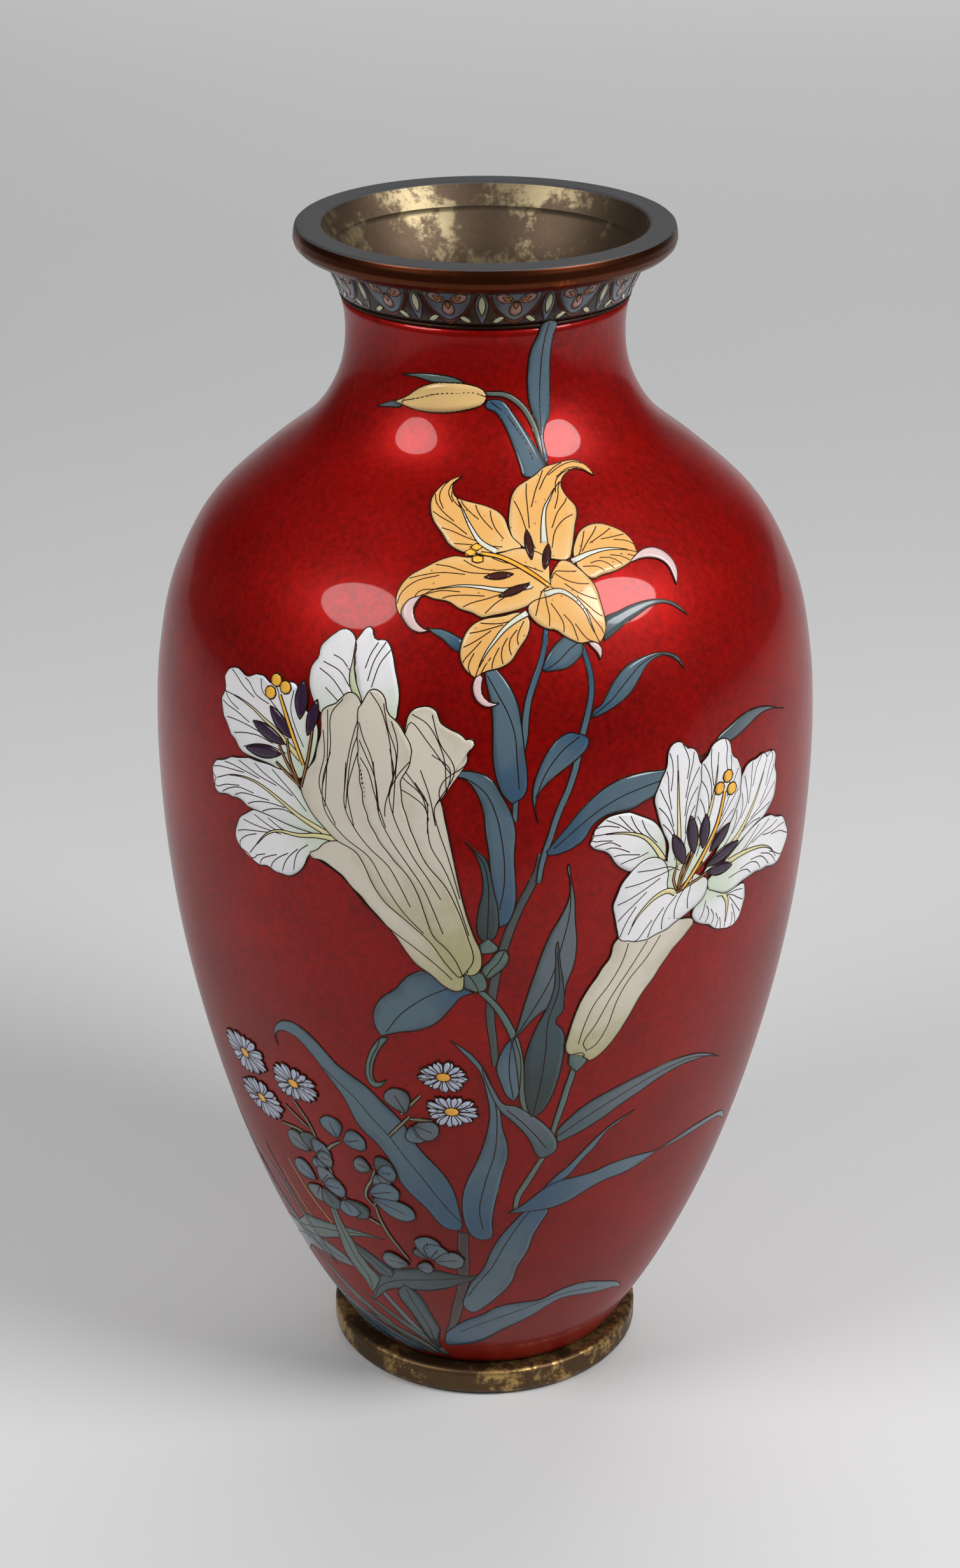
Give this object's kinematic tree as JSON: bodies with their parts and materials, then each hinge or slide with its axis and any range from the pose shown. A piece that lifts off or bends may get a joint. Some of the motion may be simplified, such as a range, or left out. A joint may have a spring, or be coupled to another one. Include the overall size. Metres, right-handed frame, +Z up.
{
  "type": "cloisonne vase",
  "caption": "Baluster vase of copper with cloisonne enamel lilies and daisies on a red ground, with metal mouth and foot rings.",
  "frame": {"origin": "middle of the foot ring's underside, on the surface the vase stands on", "axes": "+Z up along the vase's axis; the picture of lilies faces -Y, with +X to the viewer's right"},
  "size_m": [0.1362, 0.1362, 0.25],
  "materials": {
    "copper": "dark brown patina over spun copper",
    "foot_brass": "dark patina, worn bright along the edges",
    "rim_bronze": "polished dark patina, worn inside the mouth",
    "wire": "flush polished, tarnished",
    "underside_enamel": "glossy, slightly pitted",
    "border_enamel": "polished gloss",
    "red_enamel": "deep transparent red over mottled foil, high gloss",
    "white_enamel": "polished gloss",
    "cream_enamel": "polished gloss",
    "yellow_enamel": "polished gloss",
    "slate_enamel": "polished gloss",
    "grey_enamel": "polished gloss",
    "dark_green_enamel": "polished gloss",
    "stem_enamel": "polished gloss",
    "lavender_enamel": "polished gloss"
  },
  "bodies": {
    "root": {"copper_body": "copper", "foot_ring": "foot_brass", "underside_enamel": "underside_enamel", "mouth_rim": "rim_bronze", "neck_border": "border_enamel", "border_wire": "wire", "red_ground": "red_enamel", "stem_lower": "stem_enamel", "stem_upper": "stem_enamel", "grass_blade": "grey_enamel", "leaf_low_left": "dark_green_enamel", "leaf_low_right": "slate_enamel", "leaf_low_bent": "slate_enamel", "leaf_long_right": "slate_enamel", "leaf_mid_right": "grey_enamel", "leaf_upright": "slate_enamel", "leaf_hooked": "grey_enamel", "leaf_arching": "slate_enamel", "leaf_small_left": "slate_enamel", "leaf_slim_back": "grey_enamel", "leaf_slim_front": "dark_green_enamel", "leaf_drooping": "slate_enamel", "leaf_under_white": "slate_enamel", "leaf_under_white_tip": "grey_enamel", "leaf_centre": "dark_green_enamel", "leaf_folded": "slate_enamel", "leaf_under_yellow": "slate_enamel", "leaf_beside_yellow": "grey_enamel", "leaf_below_bud": "slate_enamel", "leaf_neck": "slate_enamel", "lily_bud": "white_enamel", "yellow_petal_top": "yellow_enamel", "yellow_petal_upper_left": "yellow_enamel", "yellow_petal_left": "yellow_enamel", "yellow_petal_bottom": "yellow_enamel", "yellow_petal_right": "yellow_enamel", "yellow_petal_front": "yellow_enamel", "left_lily_petal_back": "white_enamel", "left_lily_petal_upper": "white_enamel", "left_lily_petal_middle": "white_enamel", "left_lily_petal_lower": "white_enamel", "left_lily_petal_curled": "white_enamel", "left_lily_trumpet": "cream_enamel", "right_lily_petal_1": "white_enamel", "right_lily_petal_2": "white_enamel", "right_lily_petal_3": "white_enamel", "right_lily_petal_4": "white_enamel", "right_lily_petal_5": "white_enamel", "right_lily_petal_6": "white_enamel", "right_lily_trumpet": "cream_enamel", "right_lily_petal_7": "white_enamel", "daisy_1": "lavender_enamel", "daisy_2": "lavender_enamel", "daisy_3": "lavender_enamel", "daisy_4": "lavender_enamel", "daisy_5": "lavender_enamel"}
  },
  "joints": []
}
